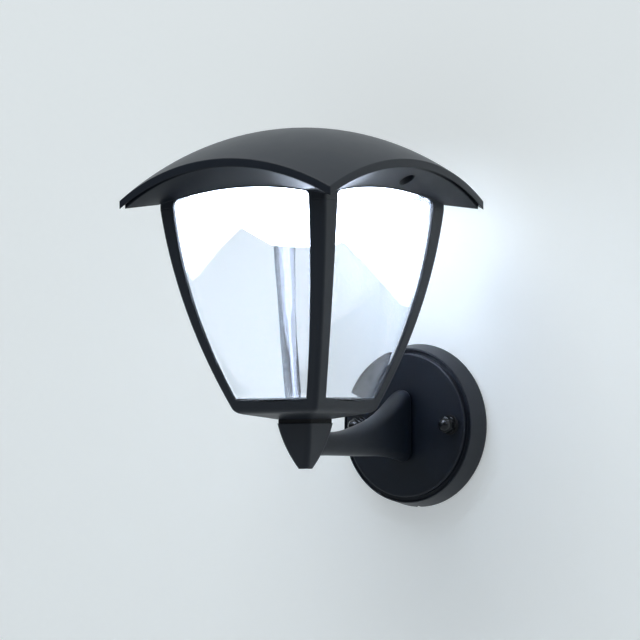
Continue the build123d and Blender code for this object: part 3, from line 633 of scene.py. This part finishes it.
@dataclass
class CapNut:
    """An acorn nut: flange, hexagon with turned chamfers, and a domed cap.

    A row of the profile is a distance from the stud's axis and a height over the seat; between the
    flange and the cap the distance is cut down to the hexagon's flats.
    """

    side: Side
    across_flats: float = 10.0
    flange: tuple[float, float] = (5.5, 1.0)
    hex_top: float = 5.6
    dome: tuple[float, float] = (4.6, 4.0)
    bore: tuple[float, float] = (2.56, 7.0)
    rounding: float = 0.3
    chamfer: float = 0.25
    turned: tuple[float, float] = (0.5, 0.7)
    around: int = 96

    def rings(self, seat: Vector) -> np.ndarray:
        """Rings from the bore's end round the seat and up to the dome's tip.

        Args:
            seat: middle of the seat, in metres.

        Returns:
            Points shaped rings by points around by three.
        """
        flange_radius, flange_top = self.flange
        dome_radius, dome_rise = self.dome
        corner = self.across_flats / math.sqrt(3)
        ball = (dome_radius**2 + dome_rise**2) / (2 * dome_rise)
        sweep = math.degrees(math.asin(dome_radius / ball))
        cap = fillet_profile((0.0, self.hex_top + dome_rise - ball), ball, 90 - sweep, 89, 18)
        bore_radius, bore_depth = self.bore
        rounding, chamfer = self.rounding, self.chamfer
        turned_in, turned_down = self.turned
        profile = np.concatenate(
            [
                [[0.05, bore_depth], [bore_radius, bore_depth], [bore_radius, chamfer]],
                [[bore_radius + chamfer, 0.0], [flange_radius - rounding, 0.0], [flange_radius, rounding]],
                [[flange_radius, flange_top - rounding], [flange_radius - chamfer, flange_top]],
                [[corner - 0.1, flange_top + 0.02], [corner, flange_top + rounding]],
                [[corner, self.hex_top - turned_down], [corner - turned_in, self.hex_top - chamfer]],
                [[dome_radius + chamfer, self.hex_top], [dome_radius, self.hex_top + 0.1]],
                cap,
            ]
        )
        turn = np.linspace(0, 2 * np.pi, self.around, endpoint=False)
        flats = self.across_flats / 2 / np.cos((turn + np.pi / 6) % (np.pi / 3) - np.pi / 6)
        reach = np.repeat(profile[:, 0][:, None], self.around, axis=1)
        beside_the_cap = (profile[:, 1] > flange_top) & (profile[:, 1] < self.hex_top + 0.05)
        on_hexagon = beside_the_cap & (profile[:, 0] > dome_radius)
        reach[on_hexagon] = np.minimum(reach[on_hexagon], flats)
        height = np.repeat(profile[:, 1][:, None], self.around, axis=1)
        x = seat.x + reach * np.cos(turn) * MM
        z = seat.z + reach * np.sin(turn) * MM
        return np.stack([x, seat.y - height * MM, z], axis=-1)

    def build(self, wardrobe: Wardrobe) -> bpy.types.Object:
        """Makes the nut in place of its plain solid.

        Args:
            wardrobe: the finishes.

        Returns:
            The nut.
        """
        node = f"cap_nut_{self.side.value}"
        low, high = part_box(node)
        seat = Vector(((low.x + high.x) / 2, high.y, (low.z + high.z) / 2))
        piece = closed_skin(f"acorn_nut_{self.side.value}", self.rings(seat))
        wardrobe.dress(piece, "black_steel")
        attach(piece, node)
        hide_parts(node)
        return piece


# ---- Studio -------------------------------------------------------------------------------------


@dataclass(frozen=True)
class Backdrop:
    """A painted wall behind the lantern and a pale floor below it, neither part of the lantern.

    Part of the wall's brightness is a plain glow that the camera, the shade and the gloss see, so
    that it stays pale while the lantern's own shadow and glow still show on it.
    """

    wall_colour: str = "#dfe4e3"
    wall_glow: str = "#e2e6e8"
    glow_strength: float = 0.39
    floor_colour: str = "#a9adb0"
    roughness: float = 0.9
    shine: float = 0.1
    wall_y: float = 0.6
    floor_z: float = -0.35
    reach: float = 6.0

    def painted(self, name: str, colour: str) -> bpy.types.Material:
        """Matt paint.

        Args:
            name: the material's name.
            colour: the paint's colour.

        Returns:
            The material.
        """
        made = bpy.data.materials.new(name)
        made.use_nodes = True
        shader = made.node_tree.nodes["Principled BSDF"]
        shader.inputs["Base Color"].default_value = linear(colour)
        shader.inputs["Roughness"].default_value = self.roughness
        shader.inputs["Specular IOR Level"].default_value = self.shine
        return made

    def wall_paint(self) -> bpy.types.Material:
        """Matt paint with a plain glow, clear from behind.

        Returns:
            The material.
        """
        made = self.painted("Matt_wall_paint", self.wall_colour)
        tree = made.node_tree
        shader = tree.nodes["Principled BSDF"]
        shader.inputs["Emission Color"].default_value = linear(self.wall_glow)
        shader.inputs["Emission Strength"].default_value = self.glow_strength
        clear = add_node(tree, "BsdfTransparent")
        facing = add_node(tree, "NewGeometry").outputs["Backfacing"]
        mix = add_node(tree, "MixShader", links={0: facing, 1: shader.outputs[0], 2: clear.outputs[0]})
        tree.links.new(mix.outputs[0], tree.nodes["Material Output"].inputs["Surface"])
        return made

    def build(self) -> None:
        """Makes the wall and the floor."""
        far, wall_y, low = self.reach, self.wall_y * MM, self.floor_z
        wall = smooth_object(
            "wall",
            np.array([[-far, wall_y, low], [far, wall_y, low], [far, wall_y, far], [-far, wall_y, far]]),
            [(0, 1, 2, 3)],
        )
        wall.data.materials.append(self.wall_paint())
        floor = smooth_object(
            "floor",
            np.array([[-far, -far, low], [far, -far, low], [far, far, low], [-far, far, low]]),
            [(0, 1, 2, 3)],
        )
        floor.data.materials.append(self.painted("Pale_floor_paint", self.floor_colour))
        wall.visible_diffuse = False
        wall.visible_shadow = False


@dataclass(frozen=True)
class Lamp:
    """A square area lamp that looks at the lantern.

    Attributes:
        name: its name.
        place: where it stands, in metres.
        size: its width in metres.
        power: its power in watts.
        target: the point that it faces, in metres.
    """

    name: str
    place: tuple[float, float, float]
    size: float
    power: float
    target: tuple[float, float, float] = (0.0, -0.12, 0.08)

    def build(self) -> None:
        """Makes the lamp."""
        lamp = bpy.data.lights.new(self.name, "AREA")
        lamp.shape = "SQUARE"
        lamp.size = self.size
        lamp.energy = self.power
        box = bpy.data.objects.new(self.name, lamp)
        bpy.context.scene.collection.objects.link(box)
        aim = Vector(self.target) - Vector(self.place)
        box.matrix_world = Matrix.Translation(self.place) @ aim.to_track_quat("-Z", "Y").to_matrix().to_4x4()


@dataclass(frozen=True)
class Studio:
    """A room that is bright overhead and dim at eye level, softboxes, and the photograph's viewing angle.

    The room is a ladder of brightnesses by the height of the way a ray goes, from -1 straight down
    to 1 straight up.
    """

    room: str = "#e3ebf2"
    ladder: tuple[tuple[float, float], ...] = (
        (-1.0, 0.3),
        (-0.15, 0.12),
        (0.15, 0.10),
        (0.5, 0.45),
        (1.0, 1.1),
    )
    seen_strength: float = 0.9
    lamps: tuple[Lamp, ...] = (
        Lamp("overhead_softbox", (-0.2, -1.6, 2.3), 1.8, 33.0),
        Lamp("side_softbox", (2.2, -0.3, 0.9), 1.2, 2.5),
    )
    camera_place: tuple[float, float, float] = (1.1943, -1.7156, -0.0091)
    yaw_deg: float = 36.67
    climb_deg: float = 2.22
    roll_deg: float = -0.55
    lens_mm: float = 173.8
    sensor_mm: float = 36.0

    def light(self) -> None:
        """Sets the room's light and the softboxes."""
        world = bpy.data.worlds.new("Dim_room_bright_ceiling")
        world.use_nodes = True
        tree = world.node_tree
        backing = tree.nodes["Background"]
        backing.inputs["Color"].default_value = linear(self.room)
        way = add_node(tree, "SeparateXYZ", links={0: add_node(tree, "TexCoord").outputs["Generated"]})
        share = add_node(tree, "MapRange", {"From Min": -1.0, "From Max": 1.0}, {"Value": way.outputs["Z"]})
        ramp = add_node(tree, "ValToRGB", links={0: share.outputs[0]})
        steps = ramp.color_ramp.elements
        rungs = {(height + 1) / 2: bright for height, bright in self.ladder}
        for place in sorted(rungs)[1:-1]:
            steps.new(place)
        for step, (place, bright) in zip(steps, sorted(rungs.items())):
            step.position = place
            step.color = (bright, bright, bright, 1.0)
        seen = add_node(tree, "LightPath").outputs["Is Camera Ray"]
        choices = {0: seen, 2: ramp.outputs[0]}
        strength = add_node(tree, "Mix", {3: self.seen_strength}, choices, data_type="FLOAT")
        tree.links.new(strength.outputs[0], backing.inputs["Strength"])
        bpy.context.scene.world = world
        for lamp in self.lamps:
            lamp.build()

    def look(self) -> None:
        """Sets the camera: forward, right and up from its yaw, climb and roll."""
        yaw, climb, roll = (math.radians(a) for a in (self.yaw_deg, self.climb_deg, self.roll_deg))
        forward = Vector((-math.sin(yaw) * math.cos(climb), math.cos(yaw) * math.cos(climb), math.sin(climb)))
        level_right = Vector((math.cos(yaw), math.sin(yaw), 0))
        level_up = level_right.cross(forward)
        right = math.cos(roll) * level_right + math.sin(roll) * level_up
        up = -math.sin(roll) * level_right + math.cos(roll) * level_up
        data = bpy.data.cameras.new("camera")
        data.lens = self.lens_mm
        data.sensor_width = self.sensor_mm
        camera = bpy.data.objects.new("camera", data)
        turned = Matrix((right, up, -forward)).transposed().to_4x4()
        camera.matrix_world = Matrix.Translation(self.camera_place) @ turned
        bpy.context.scene.collection.objects.link(camera)
        bpy.context.scene.camera = camera
        bpy.context.scene.view_settings.view_transform = "Standard"


def main() -> None:
    """Builds the pieces in order, dresses them and sets the studio."""
    logging.basicConfig(level=logging.INFO, format="%(name)s: %(message)s")
    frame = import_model()
    wardrobe = Wardrobe.open()
    wardrobe.dress_nodes(frame)
    for maker in (ClearShade(), CapNut(Side.LEFT), CapNut(Side.RIGHT)):
        piece = maker.build(wardrobe)
        LOG.info("%s: %d faces", piece.name, len(piece.data.polygons))
    Backdrop().build()
    studio = Studio()
    studio.light()
    studio.look()


if __name__ == "__main__":
    main()
